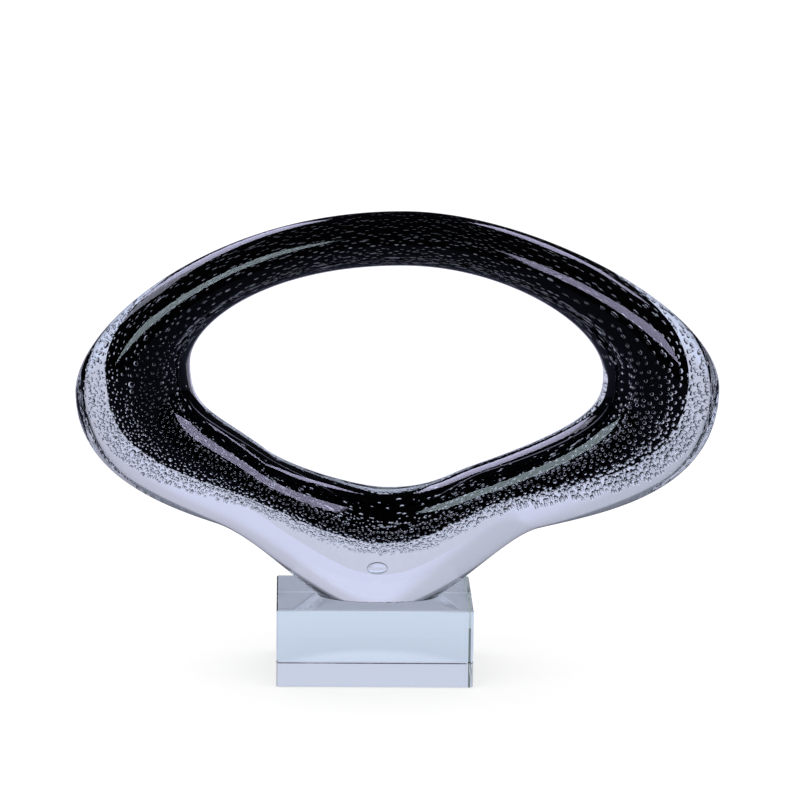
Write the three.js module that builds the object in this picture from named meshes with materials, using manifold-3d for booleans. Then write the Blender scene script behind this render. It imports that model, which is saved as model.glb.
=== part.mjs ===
// Sculpture: a wide oval ring of cased art glass. Its foot is ground flat and bonded to a clear block.
//
// Millimetres, +Z up, +X to the right seen from the front. The origin is the middle of the block's
// underside. The ring has its own frame, which starts at the ground face of its foot, over the origin.
//
// The ring is a loft. Its outer outline and its hole's outline lie in the XZ plane and are walked
// together, clockwise from the crown. At each step the glass between them is an oval, and the layers
// are nested in that oval: clear outer glass, seeded glass, black core, and a clear lining that closes
// the hole side. The foot is the lowest part of the same outer glass.

import * as THREE from 'three';
import { mergeVertices } from 'three/addons/utils/BufferGeometryUtils.js';
import Module from 'manifold-3d';

// Block
const blockWidth = 100;
const blockDepth = 70;
const blockHeight = 40;
const blockChamfer = 0.6;

// Adhesive between the block and the foot
const filmThickness = 0.25;

// Clearance between two layers of glass, which stands for their fused joint
const layerGap = 0.3;

// Outer outline. x is from the block's middle, z is above the foot's ground face, heading is the
// outline's direction in degrees, and before and after are the reaches of the curve's two handles.
// power is the exponent of the section's curve on this side, where 2 is an ellipse and more is squarer.
// seeds is the seeded glass's share of the clear wall outside the core.
const crown = { x: 13.9, z: 199.2, heading: 0, before: 98.5, after: 66, power: 1.6, seeds: 0.5 };
const rightLobe = { x: 174.8, z: 108.4, heading: -90, before: 40.4, after: 56, power: 1.85, seeds: 0.5 };
const rightWaist = { x: 84.4, z: 36.2, heading: 194, before: 30, after: 21.6, power: 2, seeds: 0.36 };
const keel = { x: 1, z: -13.2, heading: 180, before: 30.8, after: 26.6, power: 2, seeds: 0.15 };
const leftWaist = { x: -82.1, z: 37.8, heading: 162.4, before: 28, after: 32.4, power: 2, seeds: 0.27 };
const leftLobe = { x: -152.8, z: 105.2, heading: 90, before: 40.7, after: 33.3, power: 1.85, seeds: 0.55 };

// Outline of the hole, in the same terms. core is the core's reach towards the hole, as a share of the
// section's half-width.
const holeTop = { x: 13.6, z: 171.8, heading: 0, before: 71, after: 52, power: 2, core: 0.72 };
const holeRight = { x: 115.4, z: 115.1, heading: -90, before: 26.5, after: 14.4, power: 2.2, core: 0.58 };
const holeLowRight = { x: 50.3, z: 66.9, heading: 200, before: 66, after: 15.9, power: 2.1, core: 0.4 };
const holeBottom = { x: 6.2, z: 54.7, heading: 180, before: 22.4, after: 15.8, power: 2.4, core: 0.48 };
const holeLowLeft = { x: -55.3, z: 73.4, heading: 143, before: 14, after: 35, power: 2.8, core: 0.5 };
const holeLeft = { x: -94.6, z: 120.9, heading: 90, before: 25.8, after: 20.5, power: 2.2, core: 0.62 };

// Half of the ring's depth, front to back. It changes smoothly with height round the ring.
const halfDepth = { atFoot: 26, atLobes: 27, atCrown: 20 };

// The section's widest place, from the hole, at the foot. It nears the middle of the section on the way
// up to the lobes and stays there.
const footShoulder = 24;

// The layers thin out with the glass that holds them, so they are shares of it: the core's reach away
// from the hole, of the section's half-width, and its reach to front and back, of the half-depth.
const coreOutwardShare = { atFoot: -0.24, atLobes: 0.3, atCrown: 0.78 };
const coreDepthShare = { atFoot: 0.54, atLobes: 0.55, atCrown: 0.7 };

// How late the core widens between the lobes and the crown, as a power of the height
const coreLateness = 3.2;

// The seeded glass in front of the core, of the clear wall there
const seedDepthShare = 0.4;

// Where the core's ellipse is cut flat on the hole side, of its own half-width
const coreFlatShare = 0.8;

// Fineness of the loft
const stepsPerArc = 11;
const outerSides = 20;
const innerSides = 14;
const liningSides = 8;
const envelopeSides = 28;

const wasm = await Module();
wasm.setup();

// Outlines

const outerAnchors = [crown, rightLobe, rightWaist, keel, leftWaist, leftLobe];
const holeAnchors = [holeTop, holeRight, holeLowRight, holeBottom, holeLowLeft, holeLeft];

function handle(anchor, reach) {
  const angle = THREE.MathUtils.degToRad(anchor.heading);
  return new THREE.Vector2(anchor.x + reach * Math.cos(angle), anchor.z + reach * Math.sin(angle));
}

function arcsThrough(anchors) {
  return anchors.map((from, index) => {
    const to = anchors[(index + 1) % anchors.length];
    const start = new THREE.Vector2(from.x, from.z);
    const end = new THREE.Vector2(to.x, to.z);
    return new THREE.CubicBezierCurve(start, handle(from, from.after), handle(to, -to.before), end);
  });
}

function pointsAlong(arcs) {
  return arcs.flatMap((arc) => arc.getPoints(stepsPerArc).slice(0, -1));
}

// Heights of the section's middle at the foot, at the lobes and at the crown
const footLevel = (keel.z + holeBottom.z) / 2;
const lobeLevel = (leftLobe.z + rightLobe.z) / 2;
const crownLevel = (crown.z + holeTop.z) / 2;

// Blends the three values of a size by height: level at the lobes, and steeper towards foot and crown.
function atHeight(size, height, lateness = 2) {
  if (height < lobeLevel) {
    const share = Math.max(0, (height - footLevel) / (lobeLevel - footLevel));
    return THREE.MathUtils.lerp(size.atFoot, size.atLobes, Math.sin((share * Math.PI) / 2));
  }
  const share = (height - lobeLevel) / (crownLevel - lobeLevel);
  return THREE.MathUtils.lerp(size.atLobes, size.atCrown, share ** lateness);
}

// Blends a value of the anchors. place counts them from the crown, 0 to 6.
function betweenAnchors(anchors, key, place) {
  const arc = Math.floor(place);
  const share = THREE.MathUtils.smoothstep(place - arc, 0, 1);
  return THREE.MathUtils.lerp(anchors[arc][key], anchors[(arc + 1) % anchors.length][key], share);
}

// One section of the ring: where it is, and the ovals of its layers. Places in a section are r, away
// from the hole along the line from outline to outline, and y, front to back. An oval's widest place
// has half a curve on either side of it.
function sectionBetween(outerPoint, holePoint, place) {
  const middle = outerPoint.clone().add(holePoint).multiplyScalar(0.5);
  const outward = outerPoint.clone().sub(holePoint).normalize();
  const halfWidth = outerPoint.distanceTo(holePoint) / 2;
  const depth = atHeight(halfDepth, middle.y);

  const shoulder = atHeight({ atFoot: footShoulder, atLobes: halfWidth, atCrown: halfWidth }, middle.y);

  const outerReach = atHeight(coreOutwardShare, middle.y, coreLateness) * halfWidth;
  const flatPlace = -betweenAnchors(holeAnchors, 'core', place) * halfWidth;
  const coreHalfWidth = (outerReach - flatPlace) / (1 + coreFlatShare);
  const coreHalfDepth = atHeight(coreDepthShare, middle.y) * depth;
  const seedThickness = betweenAnchors(outerAnchors, 'seeds', place) * (halfWidth - outerReach);
  const seedCover = seedDepthShare * (depth - coreHalfDepth);
  const coreMiddle = flatPlace + coreFlatShare * coreHalfWidth;

  const nested = (extraWidth, extraDepth) => ({
    widest: coreMiddle,
    rim: { reach: coreHalfWidth + extraWidth, power: 2 },
    hole: { reach: coreHalfWidth + extraWidth, power: 2 },
    halfDepth: coreHalfDepth + extraDepth,
  });
  const skin = {
    widest: shoulder - halfWidth,
    rim: { reach: 2 * halfWidth - shoulder, power: betweenAnchors(outerAnchors, 'power', place) },
    hole: { reach: shoulder, power: betweenAnchors(holeAnchors, 'power', place) },
    halfDepth: depth,
  };
  return {
    middle,
    outward,
    flatPlace,
    skin,
    channel: nested(seedThickness + layerGap, seedCover + layerGap),
    seedOuter: nested(seedThickness, seedCover),
    seedInner: nested(layerGap, layerGap),
    core: nested(0, 0),
  };
}

const outerPoints = pointsAlong(arcsThrough(outerAnchors));
const holePoints = pointsAlong(arcsThrough(holeAnchors));
const sections = outerPoints.map((point, index) =>
  sectionBetween(point, holePoints[index], index / stepsPerArc),
);

// A number's power with the number's own sign
function signedPower(number, power) {
  return Math.sign(number) * Math.abs(number) ** power;
}

// The angle at which an oval reaches place r. Angles start at the rim and end at the hole.
function angleAt(oval, r) {
  const side = r < oval.widest ? oval.hole : oval.rim;
  return Math.acos(signedPower((r - oval.widest) / side.reach, side.power / 2));
}

// Points of an oval from its front (-y) round its outer side to its back, cut off at place r.
function outerSweep(oval, cutPlace, sides) {
  const limit = angleAt(oval, cutPlace);
  return sweep(oval, -limit, limit, sides);
}

function sweep(oval, from, to, sides) {
  const points = [];
  for (let step = 0; step <= sides; step += 1) {
    const angle = THREE.MathUtils.lerp(from, to, step / sides);
    const side = Math.cos(angle) < 0 ? oval.hole : oval.rim;
    const power = 2 / side.power;
    const r = oval.widest + side.reach * signedPower(Math.cos(angle), power);
    points.push({ r, y: oval.halfDepth * signedPower(Math.sin(angle), power) });
  }
  return points;
}

// Joins one closed profile per section into a closed ring.
function loft(profileOf) {
  const positions = [];
  const triangles = [];
  const profiles = sections.map(profileOf);
  const sides = profiles[0].length;
  profiles.forEach((profile, step) => {
    const { middle, outward } = sections[step];
    for (const { r, y } of profile) {
      positions.push(middle.x + outward.x * r, y, middle.y + outward.y * r);
    }
    const next = (step + 1) % profiles.length;
    for (let side = 0; side < sides; side += 1) {
      const beside = (side + 1) % sides;
      const a = step * sides + side;
      const b = step * sides + beside;
      const c = next * sides + beside;
      const d = next * sides + side;
      triangles.push(a, c, b, a, d, c);
    }
  });
  return indexedGeometry(positions, triangles);
}

function indexedGeometry(positions, triangles) {
  const geometry = new THREE.BufferGeometry();
  geometry.setAttribute('position', new THREE.Float32BufferAttribute(positions, 3));
  geometry.setIndex(triangles);
  return geometry;
}

// Layers of the ring

function casingProfile(section) {
  const outside = outerSweep(section.skin, section.flatPlace, outerSides);
  const inside = outerSweep(section.channel, section.flatPlace, innerSides).reverse();
  return [...outside, ...inside];
}

function seedProfile(section) {
  const outside = outerSweep(section.seedOuter, section.flatPlace, innerSides);
  const inside = outerSweep(section.seedInner, section.flatPlace, innerSides).reverse();
  return [...outside, ...inside];
}

function coreProfile(section) {
  return outerSweep(section.core, section.flatPlace, innerSides);
}

function liningProfile(section) {
  const edge = angleAt(section.skin, section.flatPlace - layerGap);
  return sweep(section.skin, edge, 2 * Math.PI - edge, liningSides);
}

function envelopeProfile(section) {
  return sweep(section.skin, 0, 2 * Math.PI, envelopeSides).slice(0, -1);
}

// Cutting and joining

function solidFrom(geometry) {
  const bare = geometry.clone();
  bare.deleteAttribute('normal');
  bare.deleteAttribute('uv');
  const merged = mergeVertices(bare);
  const vertProperties = new Float32Array(merged.attributes.position.array);
  const triVerts = new Uint32Array(merged.index.array);
  return new wasm.Manifold(new wasm.Mesh({ numProp: 3, vertProperties, triVerts }));
}

function geometryFrom(solid) {
  const mesh = solid.getMesh();
  return indexedGeometry(Array.from(mesh.vertProperties), Array.from(mesh.triVerts));
}

// A slab over the whole ring's width, from one height to another in the ring's frame
function slab(fromHeight, toHeight) {
  const width = 2 * (rightLobe.x - leftLobe.x);
  const depth = 4 * halfDepth.atLobes;
  const box = new THREE.BoxGeometry(width, depth, toHeight - fromHeight);
  box.translate(0, 0, (toHeight + fromHeight) / 2);
  return solidFrom(box);
}

function casingGeometry() {
  const groundOff = slab(2 * keel.z, 0);
  return geometryFrom(solidFrom(loft(casingProfile)).subtract(groundOff));
}

function filmGeometry() {
  const bondLine = slab(-filmThickness, 0);
  return geometryFrom(solidFrom(loft(envelopeProfile)).intersect(bondLine));
}

// A block with the same small chamfer on every edge
function blockGeometry() {
  const halfWidth = blockWidth / 2 - blockChamfer;
  const halfLength = blockDepth / 2 - blockChamfer;
  const corner = blockChamfer * (Math.SQRT2 - 1);
  const face = new THREE.Shape([
    new THREE.Vector2(corner - halfWidth, -halfLength),
    new THREE.Vector2(halfWidth - corner, -halfLength),
    new THREE.Vector2(halfWidth, corner - halfLength),
    new THREE.Vector2(halfWidth, halfLength - corner),
    new THREE.Vector2(halfWidth - corner, halfLength),
    new THREE.Vector2(corner - halfWidth, halfLength),
    new THREE.Vector2(-halfWidth, halfLength - corner),
    new THREE.Vector2(-halfWidth, corner - halfLength),
  ]);
  const block = new THREE.ExtrudeGeometry(face, {
    depth: blockHeight - 2 * blockChamfer,
    bevelSize: blockChamfer,
    bevelThickness: blockChamfer,
    bevelSegments: 1,
  });
  return block.translate(0, 0, blockChamfer);
}

// Materials

const clearGlass = { color: 0xd2dcee, roughness: 0.02, metalness: 0, transparent: true, opacity: 0.35 };
const seededGlass = { color: 0xdfe6f2, roughness: 0.25, metalness: 0, transparent: true, opacity: 0.5 };
const blackGlass = { color: 0x07070a, roughness: 0.08, metalness: 0 };
const adhesive = { color: 0xe6ecf2, roughness: 0.1, metalness: 0, transparent: true, opacity: 0.6 };

function piece(name, geometry, look) {
  const mesh = new THREE.Mesh(geometry, new THREE.MeshStandardMaterial(look));
  mesh.name = name;
  return mesh;
}

// Assembly

const ring = new THREE.Group();
ring.position.z = blockHeight + filmThickness;
ring.add(piece('clear_casing', casingGeometry(), clearGlass));
ring.add(piece('bubble_layer', loft(seedProfile), seededGlass));
ring.add(piece('black_core', loft(coreProfile), blackGlass));
ring.add(piece('hole_lining', loft(liningProfile), clearGlass));
ring.add(piece('glue_film', filmGeometry(), adhesive));

const sculpture = new THREE.Group();
sculpture.add(piece('crystal_base', blockGeometry(), clearGlass));
sculpture.add(ring);

export default sculpture;
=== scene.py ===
"""Looks of the glass ring sculpture, in metres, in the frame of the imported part."""

import itertools
import math
import random
from collections import namedtuple

import bmesh
import bpy
import numpy as np
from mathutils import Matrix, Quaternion, Vector, noise


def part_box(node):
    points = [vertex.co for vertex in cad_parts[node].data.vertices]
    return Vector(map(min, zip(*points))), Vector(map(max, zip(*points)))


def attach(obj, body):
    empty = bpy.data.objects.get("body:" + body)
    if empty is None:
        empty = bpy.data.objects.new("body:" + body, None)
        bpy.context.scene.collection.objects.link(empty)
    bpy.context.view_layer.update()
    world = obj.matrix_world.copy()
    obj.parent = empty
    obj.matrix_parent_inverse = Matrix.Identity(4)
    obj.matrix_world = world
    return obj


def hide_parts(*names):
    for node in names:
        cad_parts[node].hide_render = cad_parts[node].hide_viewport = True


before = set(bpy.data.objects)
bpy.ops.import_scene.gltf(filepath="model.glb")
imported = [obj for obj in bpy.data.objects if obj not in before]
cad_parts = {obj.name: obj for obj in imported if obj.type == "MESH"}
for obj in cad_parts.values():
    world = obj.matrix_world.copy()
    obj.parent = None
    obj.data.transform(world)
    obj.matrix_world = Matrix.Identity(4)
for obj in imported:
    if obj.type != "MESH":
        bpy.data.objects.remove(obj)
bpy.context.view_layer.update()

MM = 0.001
rng = random.Random(11)

# Outlines of the ring, the same as the part's: x from the block's middle, z above the foot's ground
# face, heading in degrees and the reach of the curve's handles before and after, in millimetres.
Anchor = namedtuple("Anchor", "x z heading before after")

OUTER_ANCHORS = [
    Anchor(13.9, 199.2, 0, 98.5, 66),
    Anchor(174.8, 108.4, -90, 40.4, 56),
    Anchor(84.4, 36.2, 194, 30, 21.6),
    Anchor(1, -13.2, 180, 30.8, 26.6),
    Anchor(-82.1, 37.8, 162.4, 28, 32.4),
    Anchor(-152.8, 105.2, 90, 40.7, 33.3),
]
HOLE_ANCHORS = [
    Anchor(13.6, 171.8, 0, 71, 52),
    Anchor(115.4, 115.1, -90, 26.5, 14.4),
    Anchor(50.3, 66.9, 200, 66, 15.9),
    Anchor(6.2, 54.7, 180, 22.4, 15.8),
    Anchor(-55.3, 73.4, 143, 14, 35),
    Anchor(-94.6, 120.9, 90, 25.8, 20.5),
]
CROWN, RIGHT_LOBE, KEEL, LEFT_LOBE = 0, 1, 3, 5

# Sizes that change with height round the ring: at the foot, at the lobes and at the crown
HALF_DEPTH = (26, 27, 20)
CORE_OUTWARD = (-0.24, 0.3, 0.78)
CORE_DEPTH = (0.54, 0.55, 0.7)
SEED_COVER = 0.26  # share of the glass before the core, and behind it, that holds bubbles
CORE_FLAT = 0.8  # reach of the core's hole side, as a share of its rim side's
CORE_STEEPNESS = 3.2  # how late the core widens between the lobes and the crown

# Sizes that differ from anchor to anchor, clockwise from the crown. The exponents are of the section's
# curve on its rim's side and on its hole's side, where 2 is an ellipse, and more is squarer.
RIM_EXPONENT = (1.6, 1.85, 2.0, 2.0, 2.0, 1.85)
HOLE_EXPONENT = (2.0, 2.2, 2.1, 2.4, 2.8, 2.2)
CORE_HOLEWARD = (0.72, 0.58, 0.4, 0.48, 0.5, 0.62)
SEED_WIDTH = (0.5, 0.5, 0.36, 0.15, 0.27, 0.55)
SEED_REACH = (0.9, 0.92, 0.62, 0.9, 0.8, 0.82)  # how far out in the seeded layer the bubbles lie
FOOT_SHOULDER = 24  # the widest place's distance from the hole at the foot; elsewhere it nears the middle

BLOCK_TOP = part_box("crystal_base")[1].z
FOOT_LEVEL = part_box("clear_casing")[0].z

Section = namedtuple(
    "Section",
    "middle outward half_width half_depth shoulder rim_exponent hole_exponent core_middle core_half_width"
    " core_half_depth seed_thickness seed_cover height_share",
)


# Shape of the ring


def point_on_arc(anchors, arc, share):
    start, end = anchors[arc % 6], anchors[(arc + 1) % 6]
    points = []
    for anchor, reach in ((start, start.after), (end, -end.before)):
        angle = math.radians(anchor.heading)
        handle = (anchor.x + reach * math.cos(angle), anchor.z + reach * math.sin(angle))
        points.append(Vector(handle))
    p0, p1, p2, p3 = Vector((start.x, start.z)), points[0], points[1], Vector((end.x, end.z))
    rest = 1 - share
    return rest**3 * p0 + 3 * rest**2 * share * p1 + 3 * rest * share**2 * p2 + share**3 * p3


def lerp(low, high, share):
    return low + (high - low) * share


def part_way(value, start, end):
    """0 at the start, 1 at the end, and level outside."""
    return min(1.0, max(0.0, (value - start) / (end - start)))


FOOT_HEIGHT = (OUTER_ANCHORS[KEEL].z + HOLE_ANCHORS[KEEL].z) / 2
LOBE_HEIGHT = (OUTER_ANCHORS[LEFT_LOBE].z + OUTER_ANCHORS[RIGHT_LOBE].z) / 2
CROWN_HEIGHT = (OUTER_ANCHORS[CROWN].z + HOLE_ANCHORS[CROWN].z) / 2


def at_height(size, height, steepness=2):
    if height < LOBE_HEIGHT:
        share = max(0.0, (height - FOOT_HEIGHT) / (LOBE_HEIGHT - FOOT_HEIGHT))
        return lerp(size[0], size[1], math.sin(share * math.pi / 2))
    share = (height - LOBE_HEIGHT) / (CROWN_HEIGHT - LOBE_HEIGHT)
    return lerp(size[1], size[2], share**steepness)


def at_place(sizes, place):
    """Blends sizes given at the six anchors."""
    arc = math.floor(place)
    share = place - arc
    return lerp(sizes[arc % 6], sizes[(arc + 1) % 6], share * share * (3 - 2 * share))


def section_at(place):
    """The ring's section at a place from 0 to 6, which counts the anchors clockwise from the crown."""
    arc = math.floor(place)
    share = place - arc
    outer = point_on_arc(OUTER_ANCHORS, arc, share)
    hole = point_on_arc(HOLE_ANCHORS, arc, share)
    middle = (outer + hole) / 2
    outward = (outer - hole).normalized()
    half_width = (outer - hole).length / 2
    half_depth = at_height(HALF_DEPTH, middle.y)
    shoulder = at_height((FOOT_SHOULDER, half_width, half_width), middle.y)
    outward_reach = at_height(CORE_OUTWARD, middle.y, CORE_STEEPNESS) * half_width
    flat_place = -at_place(CORE_HOLEWARD, place) * half_width
    core_half_width = (outward_reach - flat_place) / (1 + CORE_FLAT)
    core_half_depth = at_height(CORE_DEPTH, middle.y) * half_depth
    seeded_share = at_place(SEED_REACH, place) * at_place(SEED_WIDTH, place)
    return Section(
        middle=middle,
        outward=outward,
        half_width=half_width,
        half_depth=half_depth,
        shoulder=shoulder,
        rim_exponent=at_place(RIM_EXPONENT, place),
        hole_exponent=at_place(HOLE_EXPONENT, place),
        core_middle=flat_place + CORE_FLAT * core_half_width,
        core_half_width=core_half_width,
        core_half_depth=core_half_depth,
        seed_thickness=seeded_share * (half_width - outward_reach),
        seed_cover=SEED_COVER * (half_depth - core_half_depth),
        height_share=(middle.y - FOOT_HEIGHT) / (CROWN_HEIGHT - FOOT_HEIGHT),
    )


def in_row_frame(section, outward, depth):
    """A section's point as a point of the part: outward from its middle, and depth to the back."""
    place = section.middle + section.outward * outward
    return Vector((place.x * MM, depth * MM, place.y * MM + FOOT_LEVEL))


def built_mesh(name, builder):
    mesh = bpy.data.meshes.new(name)
    builder.to_mesh(mesh)
    builder.free()
    return mesh


def new_object(name, data):
    made = bpy.data.objects.new(name, data)
    bpy.context.scene.collection.objects.link(made)
    return made


def new_piece(mesh, material):
    """A smooth piece of the part, named after its mesh. Like all of them it rides on the one body."""
    mesh.shade_smooth()
    mesh.materials.append(material)
    piece = new_object(mesh.name, mesh)
    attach(piece, "root")
    return piece


def join_rings(builder, rings):
    """Quads from each ring of corners to the next, and from the last to the first, that face out."""
    for here, following in zip(rings, rings[1:] + rings[:1]):
        for side in range(len(here)):
            beside = (side + 1) % len(here)
            builder.faces.new((here[side], following[side], following[beside], here[beside]))
    bmesh.ops.recalc_face_normals(builder, faces=builder.faces)


def loft(profile_of, steps, sides):
    """The whole ring. profile_of(section, angle) gives outward and depth in the section."""
    builder = bmesh.new()
    rings = []
    for step in range(steps):
        section = section_at(6 * step / steps)
        ring = []
        for side in range(sides):
            outward, depth = profile_of(section, 2 * math.pi * side / sides)
            ring.append(builder.verts.new(in_row_frame(section, outward, depth)))
        rings.append(ring)
    join_rings(builder, rings)
    return builder


# Nodes


class NodeMaker:
    """Short ways to add shader nodes to one tree. An input is a socket, or a plain value."""

    def __init__(self, tree):
        self.tree = tree
        tree.nodes.clear()

    def node(self, kind, inputs=None, **settings):
        made = self.tree.nodes.new(kind)
        for name, value in settings.items():
            setattr(made, name, value)
        for name, value in (inputs or {}).items():
            self.give(made.inputs[name], value)
        return made

    def give(self, socket, value):
        if isinstance(value, bpy.types.NodeSocket):
            self.tree.links.new(value, socket)
        else:
            socket.default_value = value

    def math(self, operation, first, second=0.0):
        return self.node("ShaderNodeMath", {0: first, 1: second}, operation=operation).outputs[0]

    def rise(self, value, low, high):
        """0 below low, 1 above high, and smooth between."""
        inputs = {"Value": value, "From Min": low, "From Max": high}
        return self.node("ShaderNodeMapRange", inputs, interpolation_type="SMOOTHSTEP").outputs[0]

    def blend(self, share, first, second):
        inputs = {0: share, 6: first, 7: second}
        return self.node("ShaderNodeMix", inputs, data_type="RGBA").outputs[2]

    def add_scaled(self, colour, extra, share):
        scaled = self.node("ShaderNodeVectorMath", {0: extra, "Scale": share}, operation="SCALE")
        inputs = {0: colour, 1: scaled.outputs[0]}
        return self.node("ShaderNodeVectorMath", inputs, operation="ADD").outputs[0]

    def place(self):
        return self.node("ShaderNodeTexCoord").outputs["Object"]

    def parts(self, vector):
        return self.node("ShaderNodeSeparateXYZ", {0: vector}).outputs

    def noise(self, scale, detail):
        inputs = {"Vector": self.place(), "Scale": scale, "Detail": detail}
        return self.node("ShaderNodeTexNoise", inputs).outputs["Fac"]

    def bump(self, height, distance):
        inputs = {"Height": height, "Distance": distance, "Strength": 1.0}
        return self.node("ShaderNodeBump", inputs).outputs[0]

    def attribute(self, name):
        return self.node("ShaderNodeAttribute", attribute_name=name).outputs["Fac"]

    def glow(self, colour, strength=1.0):
        return self.node("ShaderNodeEmission", {"Color": colour, "Strength": strength}).outputs[0]

    def diffuse(self, colour):
        return self.node("ShaderNodeBsdfDiffuse", {"Color": colour}).outputs[0]

    def both(self, first, second):
        return self.node("ShaderNodeAddShader", {0: first, 1: second}).outputs[0]

    def either(self, share, first, second):
        return self.node("ShaderNodeMixShader", {0: share, 1: first, 2: second}).outputs[0]


WHITE = (1, 1, 1, 1)
WIPED = (0.985, 0.99, 1, 1)
WIPE_SCALE, WIPE_ZONE = 60, (0.45, 0.8)  # faint marks of a cloth, and the noise between which they rise


def new_material(name):
    material = bpy.data.materials.new(name)
    material.use_nodes = True
    return material, NodeMaker(material.node_tree)


def glass_material(name, ior, tint, absorption, wave_height, wave_scale, polish):
    """Clear glass: smooth, faintly wavy, and tinted through its thickness. polish is its roughness."""
    material, make = new_material(name)
    wipe = make.rise(make.noise(WIPE_SCALE, detail=6), *WIPE_ZONE)
    inputs = {
        "Base Color": make.blend(wipe, WHITE, WIPED),
        "Roughness": make.math("MULTIPLY", wipe, polish),
        "IOR": ior,
        "Transmission Weight": 1.0,
        "Normal": make.bump(make.noise(wave_scale, detail=1.5), wave_height),
    }
    shader = make.node("ShaderNodeBsdfPrincipled", inputs)
    output = make.node("ShaderNodeOutputMaterial", {"Surface": shader.outputs[0]})
    if absorption:
        inputs = {"Color": tint, "Density": absorption}
        volume = make.node("ShaderNodeVolumeAbsorption", inputs)
        make.give(output.inputs["Volume"], volume.outputs[0])
    return material


BLACK = (0.0008, 0.0008, 0.001, 1)
# Painted navy haze: reflected light painted into the black core's colour, patchy where the drift's noise
# rises
NAVY_PAINTED_HAZE = (0.006, 0.008, 0.014, 1)
DRIFT_SCALE, PAINTED_HAZE_ZONE = 35, (0.3, 0.7)
CORE_ROUGHNESS, CORE_ROUGHER = 0.5, 0.2
# Painted reflection: a thin pale line painted on the black core at one depth behind the middle
REFLECTION_LINE_COLOUR = (0.6, 0.6, 0.7, 1)
REFLECTION_LINE_DEPTH = 3.1 * MM  # behind the middle
REFLECTION_LINE_REACH, REFLECTION_LINE_HEART = 0.42 * MM, 0.18 * MM  # from its middle line: where it ends, and where it is full


def black_glass_material():
    """Black glass under the clear: no shine of its own, and a navy haze of painted reflected light
    towards the hole.

    A thin pale line of painted reflection runs along its hole side in the two lower arms."""
    material, make = new_material("black_glass")
    drift = make.noise(DRIFT_SCALE, detail=5)
    # painted haze of reflected light towards the hole, patchy where the drift rises
    painted_haze = make.math("MULTIPLY", make.attribute("holeward"), make.rise(drift, *PAINTED_HAZE_ZONE))
    # painted reflection line: a thin pale stripe at one depth behind the middle
    off_reflection_line = make.math("ABSOLUTE", make.math("SUBTRACT", make.parts(make.place())[1], REFLECTION_LINE_DEPTH))
    line = make.rise(off_reflection_line, REFLECTION_LINE_REACH, REFLECTION_LINE_HEART)
    reflection_line = make.math("MULTIPLY", line, make.attribute("reflection_line"))
    inputs = {
        "Base Color": make.blend(reflection_line, make.blend(painted_haze, BLACK, NAVY_PAINTED_HAZE), REFLECTION_LINE_COLOUR),
        "Roughness": make.math("ADD", make.math("MULTIPLY", drift, CORE_ROUGHER), CORE_ROUGHNESS),
        "Specular IOR Level": 0.0,
    }
    shader = make.node("ShaderNodeBsdfPrincipled", inputs)
    make.node("ShaderNodeOutputMaterial", {"Surface": shader.outputs[0]})
    return material


GLASS_IOR = 1.5
SMALL_BUBBLE_IOR = 1.42  # lower than the glass's, which thins the dark ring of each small bubble
DIMPLE_SCALE, DIMPLE_DEPTH = 900, 0.003 * MM


def bubble_material(name, ior, tint, clearness=1.0, colour=(0.97, 0.98, 1, 1)):
    """Wall of an air bubble in the glass. Its faces point into the air, and it mirrors in its tint."""
    material, make = new_material(name)
    dimple = make.noise(DIMPLE_SCALE, detail=2)
    inputs = {
        "Base Color": make.blend(dimple, WHITE, colour),
        "Roughness": 0.0,
        "IOR": ior,
        "Transmission Weight": clearness,
        "Specular Tint": tint,
        "Normal": make.bump(dimple, DIMPLE_DEPTH),
    }
    shader = make.node("ShaderNodeBsdfPrincipled", inputs)
    make.node("ShaderNodeOutputMaterial", {"Surface": shader.outputs[0]})
    return material


# Clear glass of the ring

GLASS_STEPS = 456
GLASS_SIDES = 160
FOOT_SINK = 0.1 * MM  # the foot's face lies this deep in the block, as glass in optical contact


def skin_profile(section, angle):
    """Two curves that meet at the widest place, one towards the rim and one towards the hole."""
    cosine, sine = math.cos(angle), math.sin(angle)
    widest = section.shoulder - section.half_width
    power = 2 / (section.hole_exponent if cosine < 0 else section.rim_exponent)
    reach = -section.shoulder if cosine < 0 else section.half_width - widest
    depth = section.half_depth * math.copysign(abs(sine) ** power, sine)
    return widest + reach * abs(cosine) ** power, depth


def cut_flat(builder, height):
    """Cuts off what lies below a height, closes the cut with one face and keeps its rim sharp."""
    parts = builder.verts[:] + builder.edges[:] + builder.faces[:]
    cut = bmesh.ops.bisect_plane(
        builder, geom=parts, plane_co=(0, 0, height), plane_no=(0, 0, -1), clear_outer=True
    )
    rim = [part for part in cut["geom_cut"] if isinstance(part, bmesh.types.BMEdge)]
    bmesh.ops.contextual_create(builder, geom=rim)
    for edge in rim:
        edge.smooth = False


def make_glass_body():
    builder = loft(skin_profile, GLASS_STEPS, GLASS_SIDES)
    cut_flat(builder, BLOCK_TOP - FOOT_SINK)
    material = glass_material("clear_glass", GLASS_IOR, (0.80, 0.86, 0.97, 1), 1.6, 0.03 * MM, 22, 0.01)
    piece = new_piece(built_mesh("glass_body", builder), material)
    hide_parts("clear_casing", "bubble_layer", "hole_lining")


# Black core

CORE_STEPS = 420
CORE_SIDES = 96
CORE_HOLE_ROUNDNESS = 2.3  # 2 is an ellipse, and more is nearer a flat side with round corners
CORE_EDGE_DRIFT = 0.45  # how far the gathered edge wanders, in millimetres
CORE_DRIFT_SCALE = 0.06  # for each millimetre
CORE_DRIFT_TURN = 40  # millimetres that stand for one radian round the core

# A place round the core is a cosine here: 1 is the rim's side and -1 is the hole's
# Painted haze of reflected light on the core
PAINTED_HAZE_TURN = -0.1  # the painted haze starts here, and deepens towards the hole
PAINTED_HAZE_RISE = 1.5  # for each share of the ring's height
# Painted reflection line on the core
REFLECTION_LINE_TURN = -0.7
REFLECTION_LINE_TOP = (0.42, 0.34)  # shares of the height: the painted reflection line fades out between them, upwards
REFLECTION_LINE_FOOT = (0.06, 0.14)  # and between these downwards


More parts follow.
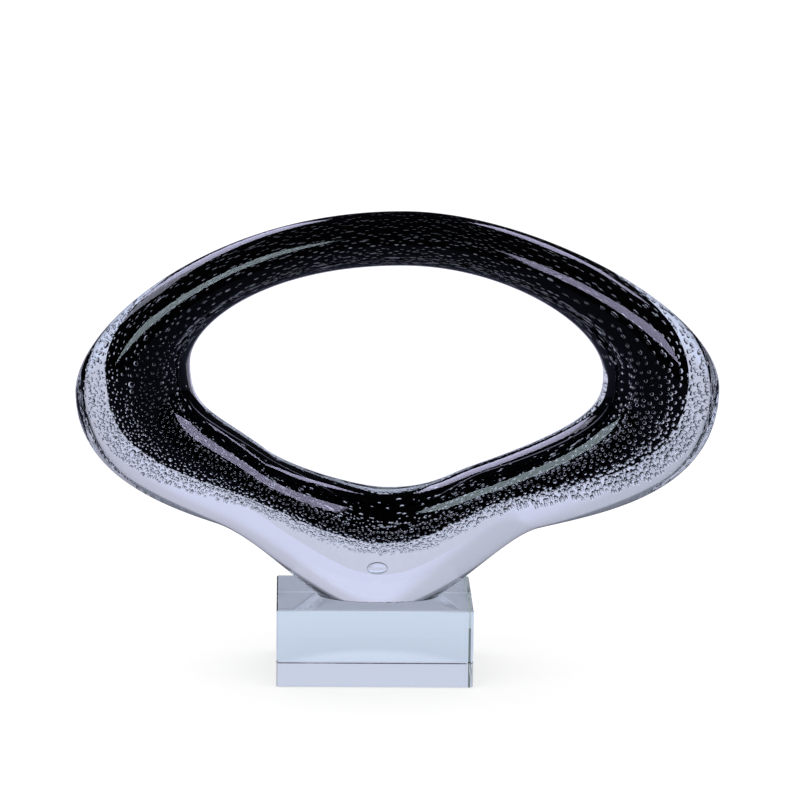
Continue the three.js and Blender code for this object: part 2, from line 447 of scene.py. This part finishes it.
def core_profile(section, angle):
    cosine, sine = math.cos(angle), math.sin(angle)
    place = Vector((section.middle.x, section.middle.y, CORE_DRIFT_TURN * angle)) * CORE_DRIFT_SCALE
    drift = CORE_EDGE_DRIFT * noise.noise(place)
    if cosine >= 0:
        outward = section.core_middle + (section.core_half_width + drift) * cosine
        return outward, section.core_half_depth * sine
    power = 2 / CORE_HOLE_ROUNDNESS
    reach = CORE_FLAT * section.core_half_width
    outward = section.core_middle - reach * abs(cosine) ** power
    return outward, section.core_half_depth * math.copysign(abs(sine) ** power, sine)


def make_core():
    builder = loft(core_profile, CORE_STEPS, CORE_SIDES)
    piece = new_piece(built_mesh("core", builder), black_glass_material())
    holeward = piece.data.attributes.new("holeward", "FLOAT", "POINT")
    reflection_line = piece.data.attributes.new("reflection_line", "FLOAT", "POINT")
    for index in range(len(piece.data.vertices)):
        turn = math.cos(2 * math.pi * (index % CORE_SIDES) / CORE_SIDES)
        height_share = section_at(6 * (index // CORE_SIDES) / CORE_STEPS).height_share
        # painted haze of reflected light: deeper towards the hole and higher up
        painted_haze = max(0.0, PAINTED_HAZE_TURN - turn) * part_way(height_share * PAINTED_HAZE_RISE, 0, 1)
        holeward.data[index].value = painted_haze
        # painted reflection line, only in the lower arms on the hole side
        lower_arms = part_way(height_share, *REFLECTION_LINE_TOP) * part_way(height_share, *REFLECTION_LINE_FOOT)
        reflection_line.data[index].value = lower_arms if turn < REFLECTION_LINE_TURN else 0.0
    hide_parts("black_core")


# Air bubbles in the seeded layer

FINE_MESH, ROUND_MESH, LARGE_MESH = 2, 3, 5  # how finely the bubbles' spheres are divided


def unit_sphere(fineness):
    """Vertices and inward-facing triangles of a round bubble of radius 1."""
    builder = bmesh.new()
    bmesh.ops.create_icosphere(builder, subdivisions=fineness, radius=1.0)
    points = np.array([vertex.co for vertex in builder.verts])
    faces = np.array([[vertex.index for vertex in reversed(face.verts)] for face in builder.faces])
    builder.free()
    return points, faces


Bubble = namedtuple("Bubble", "centre axes")
BESIDE_CORE = 0.5  # in front of the core and behind it, bubbles fill this share of the layer
BESIDE_ZONE = (math.radians(20), math.radians(60))  # from the rim, where that starts and is reached


def shell_point(section, angle, share):
    """A point between the core (share 0) and the seeded layer's outer face (share 1 at the rim)."""
    share *= lerp(1, BESIDE_CORE, part_way(abs(angle), *BESIDE_ZONE))
    half_width = section.core_half_width + section.seed_thickness * share
    half_depth = section.core_half_depth + section.seed_cover * share
    outward = section.core_middle + half_width * math.cos(angle)
    return in_row_frame(section, outward, half_depth * math.sin(angle))


def lining_point(section, angle, share):
    """A point on the hole side, between the core (share 0) and the skin (share 1)."""
    inner = core_profile(section, angle)
    outer = skin_profile(section, angle)
    return in_row_frame(section, lerp(inner[0], outer[0], share), lerp(inner[1], outer[1], share))


SEED_PLACES = 1200
SEED_SECTIONS = [section_at(6 * step / SEED_PLACES) for step in range(SEED_PLACES)]
SEED_LIMIT = 0.98 * math.acos(-CORE_FLAT)  # on the hole side, where the seeded layer ends
Spot = namedtuple("Spot", "place section angle centre along aside")
Layer = namedtuple("Layer", "point_of from_angle to_angle from_share to_share")
SEEDED = Layer(shell_point, 0, SEED_LIMIT, 0.25, 1.0)
LINING = Layer(lining_point, math.radians(118), math.radians(172), 0.15, 0.55)
TURN_STEP = 0.05  # radians, between a spot and the one beside it that shows the way round the core


def random_spot(layer):
    """A spot in a layer, and small steps from it along the ring and round the core."""
    step = rng.randrange(SEED_PLACES)
    angle = rng.uniform(layer.from_angle, layer.to_angle) * rng.choice((-1, 1))
    share = rng.uniform(layer.from_share, layer.to_share)
    section, following = SEED_SECTIONS[step], SEED_SECTIONS[(step + 1) % SEED_PLACES]
    centre = layer.point_of(section, angle, share)
    along = layer.point_of(following, angle, share) - centre
    aside = layer.point_of(section, angle + TURN_STEP, share) - centre
    return Spot(step / SEED_PLACES, section, angle, centre + along * rng.random(), along, aside)


class Crowd:
    """The bubbles placed so far, kept apart in the ring's plane from those at about the same depth."""

    CELL = 3 * MM
    SLAB = 7 * MM

    def __init__(self):
        self.cells = {}

    def cell_of(self, spot):
        x, y, z = spot.centre
        return math.floor(x / self.CELL), math.floor(z / self.CELL), math.floor(y / self.SLAB)

    def has_room(self, spot, reach):
        column, row, slab = self.cell_of(spot)
        for near in itertools.product(range(column - 1, column + 2), range(row - 1, row + 2)):
            for x, z, other_reach in self.cells.get((*near, slab), ()):
                if math.hypot(spot.centre.x - x, spot.centre.z - z) < reach + other_reach:
                    return False
        return True

    def add(self, spot, reach):
        self.cells.setdefault(self.cell_of(spot), []).append((spot.centre.x, spot.centre.z, reach))


def bubble_at(spot, length, width, thickness):
    """An egg-shaped bubble that lies along the ring. Its sizes are half axes in millimetres."""
    along = spot.along.normalized()
    inward = along.cross(spot.aside).normalized()
    aside = inward.cross(along)
    return Bubble(spot.centre, (along * length * MM, aside * width * MM, inward * thickness * MM))


def make_seeds(name, bubbles, fineness, material):
    points, faces = unit_sphere(fineness)
    all_points = []
    all_faces = []
    for index, bubble in enumerate(bubbles):
        axes = np.array(bubble.axes)
        all_points.append(points @ axes + np.array(bubble.centre))
        all_faces.append(faces + index * len(points))
    mesh = bpy.data.meshes.new(name)
    mesh.from_pydata(np.concatenate(all_points).tolist(), [], np.concatenate(all_faces).tolist())
    new_piece(mesh, material)


ARC_NAMES = (
    "top_right",
    "high_right",
    "right_lobe",
    "low_right",
    "right_arm",
    "right_foot",
    "left_foot",
    "left_arm",
    "low_left",
    "left_lobe",
    "high_left",
    "top_left",
)

# Zones of the ring, from where each starts to where it is full: x in millimetres, or a share of height
RIGHT_ZONE = (-90, 150)
LEFT_ZONE = (60, -90)
FOOT_ZONE = (0.32, 0.07)
TOP_ZONE = (0.55, 0.95)

SEED_TRIES = 60000
LEFT_SEED, RIGHT_SEED, TOP_SEED = 0.58, 0.95, 0.12  # half widths of the bubbles in millimetres
FOOT_NARROWING = 0.72
FOOT_STRETCH, TOP_STRETCH = 1.4, 9.0  # lengths, as multiples of the widths
LENGTH_SPREAD = (0.95, 1.1)
LEFT_SPREAD, RIGHT_SPREAD = 0.3, 0.12  # of the sizes, which follow a log-normal law
SEED_ROOM = 0.8  # share of the layer's thickness that a bubble may take
FINE_SEED = 0.3  # millimetres; a bubble with less half width gets the coarser mesh

# How far apart bubbles lie, as multiples of their half axes
RIGHT_SPACING, LEFT_SPACING, FOOT_SPACING, TOP_SPACING = 1.03, 1.4, 1.3, 2.5
TOP_SPACING_ZONE = (0.45, 0.8)
BESIDE_SPACING, RIM_SPACING = 1.12, 0.8  # times that, in front of the core and at the rim
RIM_ZONE = (math.radians(75), math.radians(40))

# Bubbles in the lining: hairs in the crown, short ones in the lower arms and a few elsewhere
LINING_SEED_COUNT = 900
HAIR_ZONE = (0.6, 0.85)
SHORT_ZONE = (0.45, 0.3)
SHORT_SHARE, STRAY_SHARE = 0.3, 0.08
SHORT_SEED, HAIR_SEED = 0.36, 0.13
SHORT_STRETCH, HAIR_STRETCH = 2.6, 14
LINING_SPREAD = 0.3
LINING_LENGTH_SPREAD = (0.6, 1.5)


def bubble_size(section):
    """Length, width and thickness of one bubble there, as half axes in millimetres."""
    right = part_way(section.middle.x, *RIGHT_ZONE)
    top = part_way(section.height_share, *TOP_ZONE)
    foot = part_way(section.height_share, *FOOT_ZONE)
    width = lerp(lerp(LEFT_SEED, RIGHT_SEED, right) * lerp(1, FOOT_NARROWING, foot), TOP_SEED, top)
    stretch = lerp(lerp(1.0, FOOT_STRETCH, foot), TOP_STRETCH, top * top)
    size = rng.lognormvariate(0, lerp(LEFT_SPREAD, RIGHT_SPREAD, right))
    length = width * stretch * size * rng.uniform(*LENGTH_SPREAD)
    width *= size
    room = min(section.seed_thickness, section.seed_cover) / 2
    return length, width, min(width, room * SEED_ROOM)


def spacing_at(spot):
    """How far apart bubbles lie there, as a multiple of their half axes. They crowd at the rim."""
    section = spot.section
    spacing = lerp(RIGHT_SPACING, LEFT_SPACING, part_way(section.middle.x, *LEFT_ZONE))
    spacing *= lerp(BESIDE_SPACING, RIM_SPACING, part_way(abs(spot.angle), *RIM_ZONE))
    spacing = lerp(max(spacing, 1), FOOT_SPACING, part_way(section.height_share, *FOOT_ZONE))
    return lerp(spacing, TOP_SPACING, part_way(section.height_share, *TOP_SPACING_ZONE))


def scattered_bubbles():
    """Bubbles all over the seeded layer, side by side, with a share of its room left empty."""
    crowd = Crowd()
    found = []
    for _ in range(SEED_TRIES):
        spot = random_spot(SEEDED)
        size = bubble_size(spot.section)
        reach = spacing_at(spot) * math.sqrt(size[0] * size[1]) * MM
        if crowd.has_room(spot, reach):
            crowd.add(spot, reach)
            found.append((spot, size))
    return found


def lining_bubbles():
    """Bubbles that are drawn out along the hole's edge."""
    found = []
    while len(found) < LINING_SEED_COUNT:
        spot = random_spot(LINING)
        height = spot.section.height_share
        crown, lower_arms = part_way(height, *HAIR_ZONE), part_way(height, *SHORT_ZONE)
        if rng.random() > crown + SHORT_SHARE * lower_arms + STRAY_SHARE:
            continue
        width = lerp(SHORT_SEED, HAIR_SEED, crown) * rng.lognormvariate(0, LINING_SPREAD)
        length = width * lerp(SHORT_STRETCH, HAIR_STRETCH, crown) * rng.uniform(*LINING_LENGTH_SPREAD)
        found.append((spot, (length, width, width)))
    return found


def make_bubbles():
    """One piece for each grade, face and arc, so that none grows past the limit of an exported mesh."""
    groups = {}
    for spot, size in scattered_bubbles() + lining_bubbles():
        face = "front" if spot.centre.y < 0 else "back"
        grade = "fine" if size[1] < FINE_SEED else "round"
        arc = ARC_NAMES[math.floor(len(ARC_NAMES) * spot.place)]
        groups.setdefault((grade, face, arc), []).append(bubble_at(spot, *size))
    silver = bubble_material(
        "fine_bubbles", SMALL_BUBBLE_IOR, (0.9, 0.95, 1, 1), clearness=0.7, colour=(0.45, 0.5, 0.58, 1)
    )
    clear = bubble_material("round_bubbles", SMALL_BUBBLE_IOR, (0.2, 0.205, 0.225, 1))
    meshes = {"fine": (FINE_MESH, silver), "round": (ROUND_MESH, clear)}
    for words, bubbles in sorted(groups.items()):
        make_seeds("seeds_" + "_".join(words), bubbles, *meshes[words[0]])


ACCENT_PLACE = Vector((1.4, 0, 57.0)) * MM
ACCENT_SIZE = Vector((5.2, 1.2, 2.9)) * MM  # half axes


def make_accent_bubble():
    """The one large bubble under the core, over the foot."""
    x, y, z = ACCENT_SIZE
    bubble = Bubble(ACCENT_PLACE, ((x, 0, 0), (0, y, 0), (0, 0, z)))
    wall = bubble_material("large_bubble", GLASS_IOR, (0.3, 0.31, 0.35, 1))
    make_seeds("accent_bubble", [bubble], LARGE_MESH, wall)


# Adhesive bead round the foot

BEAD_SIDES = 12
BEAD_STEPS = 240
BEAD_RADIUS = 0.35 * MM
BEAD_SWING, BEAD_SWING_SCALE = 0.9, 260  # how much its radius varies, and how often for each metre
BEAD_OUTWARD, BEAD_UPWARD, BEAD_RISE = 0.4, 0.45, 0.55  # its middle's place and its height, in radii


def foot_outline():
    """The foot's outline on the block, as points in order round it."""
    builder = loft(skin_profile, GLASS_STEPS, GLASS_SIDES)
    parts = builder.verts[:] + builder.edges[:] + builder.faces[:]
    cut = bmesh.ops.bisect_plane(builder, geom=parts, plane_co=(0, 0, BLOCK_TOP), plane_no=(0, 0, 1))
    points = [part.co.copy() for part in cut["geom_cut"] if isinstance(part, bmesh.types.BMVert)]
    builder.free()
    middle = sum(points, Vector()) / len(points)
    points.sort(key=lambda point: math.atan2(point.y - middle.y, point.x - middle.x))
    return points, middle


def make_glue_bead():
    points, middle = foot_outline()
    builder = bmesh.new()
    rings = []
    for step in range(BEAD_STEPS):
        point = points[step * len(points) // BEAD_STEPS]
        away = (point - middle).normalized()
        radius = BEAD_RADIUS * (1 + BEAD_SWING * noise.noise(point * BEAD_SWING_SCALE))
        ring = []
        for side in range(BEAD_SIDES):
            angle = 2 * math.pi * side / BEAD_SIDES
            place = point + away * radius * (BEAD_OUTWARD + math.cos(angle))
            place.z = BLOCK_TOP + max(0.0, radius * (BEAD_UPWARD + BEAD_RISE * math.sin(angle)))
            ring.append(builder.verts.new(place))
        rings.append(ring)
    join_rings(builder, rings)
    material = glass_material("adhesive", 1.49, WHITE, 0, 0.1 * MM, 400, 0.05)
    piece = new_piece(built_mesh("glue_bead", builder), material)
    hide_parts("glue_film")


# Studio

CAMERA_PLACE = Vector((-46.65, -2232.13, 650.25)) * MM
CAMERA_TARGET = Vector((12.13, 0, 141.92)) * MM
CAMERA_ROLL = math.radians(0.695)
CAMERA_LENS, SENSOR_WIDTH = 202.5, 36  # millimetres
FARTHEST_SEEN = 50  # metres


def make_camera():
    data = bpy.data.cameras.new("camera")
    data.sensor_width = SENSOR_WIDTH
    data.lens = CAMERA_LENS
    data.clip_end = FARTHEST_SEEN
    camera = new_object("camera", data)
    camera.location = CAMERA_PLACE
    camera.rotation_mode = "QUATERNION"
    look = (CAMERA_TARGET - CAMERA_PLACE).to_track_quat("-Z", "Y")
    camera.rotation_quaternion = look @ Quaternion((0, 0, 1), CAMERA_ROLL)
    bpy.context.scene.camera = camera


# Two softboxes hang overhead. A corner is a direction: x and y for each metre up. The corners go round
# to the left.
Softbox = namedtuple("Softbox", "corners colour")
SOFTBOX_EDGE = 0.02  # half width of its blurred edge, in the same measure
SOFTBOXES = [
    Softbox(
        [(-0.13, -0.4), (-0.33, -0.2), (-1.2, -0.3), (-3.6, -2.2), (-0.17, -0.52)],
        (3.6, 4.4, 4.8),
    ),
    Softbox(
        [(0.34, -0.38), (0.45, -1.15), (3.2, -2.2), (1.3, -0.36)],
        (4.4, 4.2, 6.2),
    ),
]

# Panels stand behind, between these azimuths and elevations in degrees. Azimuth 0 is the front and
# grows to the right.
Panel = namedtuple("Panel", "from_azimuth to_azimuth from_elevation to_elevation colour")
PANEL_EDGE = 0.6
PANELS = [
    Panel(-171, -147, 20, 39, (2.8, 2.8, 3.9)),
    Panel(-147, -130, 25, 39, (1.5, 1.55, 1.95)),
    Panel(147, 164, 31, 43, (3.0, 2.9, 4.2)),
    Panel(132, 147, 33.5, 38, (2.8, 2.75, 3.9)),
]
DARK = (0.012, 0.012, 0.016)

# What shows through the glass: a pale screen in front and behind, which is duller away from its middle
# and on the left, and a dim room beside and above it. Each zone runs from its start to its full strength,
# in degrees or as a part of the direction.
PALE = (0.68, 0.715, 0.93, 1)
BRIM = (0.585, 0.595, 0.735, 1)
LEFT_PALE = (0.53, 0.56, 0.68, 1)
DIM = (0.23, 0.25, 0.31, 1)
SCREEN_ACROSS = (58, 48)
SCREEN_UP = (35, 30)
PALE_TO_BRIM = (0.97, 0.88)
TO_THE_LEFT = (-0.02, -0.2)


def inside(make, value, low, high, edge):
    rising = make.rise(value, low - edge, low + edge)
    return make.math("MULTIPLY", rising, make.rise(value, high + edge, high - edge))


def inside_corners(make, x, y, corners, edge):
    """1 inside a shape in the overhead plane, 0 outside."""
    share = 1.0
    for (x0, y0), (x1, y1) in zip(corners, corners[1:] + corners[:1]):
        length = math.hypot(x1 - x0, y1 - y0)
        across = make.math("MULTIPLY", y, (x1 - x0) / length)
        across = make.math("SUBTRACT", across, make.math("MULTIPLY", x, (y1 - y0) / length))
        offset = (y0 * (x1 - x0) - x0 * (y1 - y0)) / length
        share = make.math("MULTIPLY", share, make.rise(across, offset - edge, offset + edge))
    return share


def studio_reflected(make, x, y, z, elevation):
    """What reflections see: the softboxes and the panels in a dark room."""
    up = make.math("MAXIMUM", z, 0.001)
    overhead_x, overhead_y = make.math("DIVIDE", x, up), make.math("DIVIDE", y, up)
    azimuth = make.math("DEGREES", make.math("ARCTAN2", x, make.math("MULTIPLY", y, -1.0)))
    colour = DARK
    for box in SOFTBOXES:
        share = inside_corners(make, overhead_x, overhead_y, box.corners, SOFTBOX_EDGE)
        colour = make.add_scaled(colour, box.colour, share)
    for panel in PANELS:
        across = inside(make, azimuth, panel.from_azimuth, panel.to_azimuth, PANEL_EDGE)
        upwards = inside(make, elevation, panel.from_elevation, panel.to_elevation, PANEL_EDGE)
        colour = make.add_scaled(colour, panel.colour, make.math("MULTIPLY", across, upwards))
    return colour


def studio_through_glass(make, x, y, elevation):
    depth = make.math("ABSOLUTE", y)
    sideways = make.math("DEGREES", make.math("ARCTAN2", make.math("ABSOLUTE", x), depth))
    screen = make.math("MULTIPLY", make.rise(sideways, *SCREEN_ACROSS), make.rise(elevation, *SCREEN_UP))
    pale = make.blend(make.rise(depth, *PALE_TO_BRIM), PALE, BRIM)
    pale = make.blend(make.rise(x, *TO_THE_LEFT), pale, LEFT_PALE)
    return make.blend(screen, DIM, pale)


def make_world():
    """White for the camera and for the light that falls on the object."""
    world = bpy.data.worlds.new("studio")
    world.use_nodes = True
    bpy.context.scene.world = world
    make = NodeMaker(world.node_tree)
    x, y, z = make.parts(make.node("ShaderNodeTexCoord").outputs["Generated"])
    elevation = make.math("DEGREES", make.math("ARCSINE", z))
    path = make.node("ShaderNodeLightPath").outputs
    colour = make.blend(path["Is Glossy Ray"], WHITE, studio_reflected(make, x, y, z, elevation))
    through = studio_through_glass(make, x, y, elevation)
    colour = make.blend(path["Is Transmission Ray"], colour, through)
    colour = make.blend(path["Is Camera Ray"], colour, WHITE)
    background = make.node("ShaderNodeBackground", {"Color": colour, "Strength": 1.0})
    make.node("ShaderNodeOutputWorld", {"Surface": background.outputs[0]})


# Floor

FLOOR_DROP = 0.2 * MM
FLOOR_REACH = 12.0
FLOOR_PAINT = (0.495, 0.495, 0.495, 1), (0.505, 0.505, 0.505, 1)
FLOOR_LIFT = 0.6  # its own glow, which makes it white and leaves the object's shadow on it

# What shows through the glass. Zones are distances from the middle in metres.
FAR_ZONE = (0.2, 0.3)
BLOCK_ZONE = (0.065, 0.05)
NEAR_PAINT, FAR_PAINT = (0.475, 0.545, 0.7, 1), (0.36, 0.365, 0.45, 1)
BLOCK_GLOW, NEAR_GLOW, FAR_GLOW = (0.41, 0.43, 0.56, 1), (0.28, 0.295, 0.385, 1), (0.25, 0.27, 0.33, 1)

# What reflections see: a lit stretch behind the object, in the dark. Its sides are at so many metres
# across for each metre behind.
BEHIND_ZONE = (0.3, 0.5)
LIT_SIDES = (0.85, 0.7)
DARK_SHEEN, LIT_SHEEN = (0.05, 0.055, 0.09, 1), (0.62, 0.62, 0.8, 1)


def floor_through_glass(make, place):
    distance = make.node("ShaderNodeVectorMath", {0: place}, operation="LENGTH").outputs["Value"]
    far = make.rise(distance, *FAR_ZONE)
    near_glow = make.blend(make.rise(distance, *BLOCK_ZONE), NEAR_GLOW, BLOCK_GLOW)
    paint = make.diffuse(make.blend(far, NEAR_PAINT, FAR_PAINT))
    return make.both(paint, make.glow(make.blend(far, near_glow, FAR_GLOW)))


def floor_reflected(make, place):
    x, y, _ = make.parts(place)
    aside = make.math("DIVIDE", make.math("ABSOLUTE", x), make.math("MAXIMUM", y, 0.01))
    lit = make.math("MULTIPLY", make.rise(y, *BEHIND_ZONE), make.rise(aside, *LIT_SIDES))
    return make.glow(make.blend(lit, DARK_SHEEN, LIT_SHEEN))


def floor_material():
    material, make = new_material("floor")
    place = make.place()
    paint = make.diffuse(make.blend(make.noise(90, detail=3), *FLOOR_PAINT))
    surface = make.both(paint, make.glow(WHITE, FLOOR_LIFT))
    path = make.node("ShaderNodeLightPath").outputs
    surface = make.either(path["Is Glossy Ray"], surface, floor_reflected(make, place))
    surface = make.either(path["Is Transmission Ray"], surface, floor_through_glass(make, place))
    make.node("ShaderNodeOutputMaterial", {"Surface": surface})
    return material


def make_floor():
    builder = bmesh.new()
    corners = []
    for x, y in ((-1, -1), (1, -1), (1, 1), (-1, 1)):
        corners.append(builder.verts.new((x * FLOOR_REACH, y * FLOOR_REACH, -FLOOR_DROP)))
    builder.faces.new(corners)
    floor = new_object("floor", built_mesh("floor", builder))
    floor.data.materials.append(floor_material())


def set_light_paths():
    scene = bpy.context.scene
    scene.view_settings.view_transform = "Standard"
    scene.cycles.max_bounces = 24
    scene.cycles.transmission_bounces = 24
    scene.cycles.glossy_bounces = 12


# Assembly

make_camera()
make_world()
make_floor()
set_light_paths()
make_glass_body()
make_core()
make_bubbles()
make_accent_bubble()
make_glue_bead()

block_glass = glass_material("block_glass", 1.516, (0.59, 0.72, 0.49, 1), 4.0, 0.02 * MM, 30, 0.01)
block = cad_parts["crystal_base"]
block.data.materials.clear()
block.data.materials.append(block_glass)
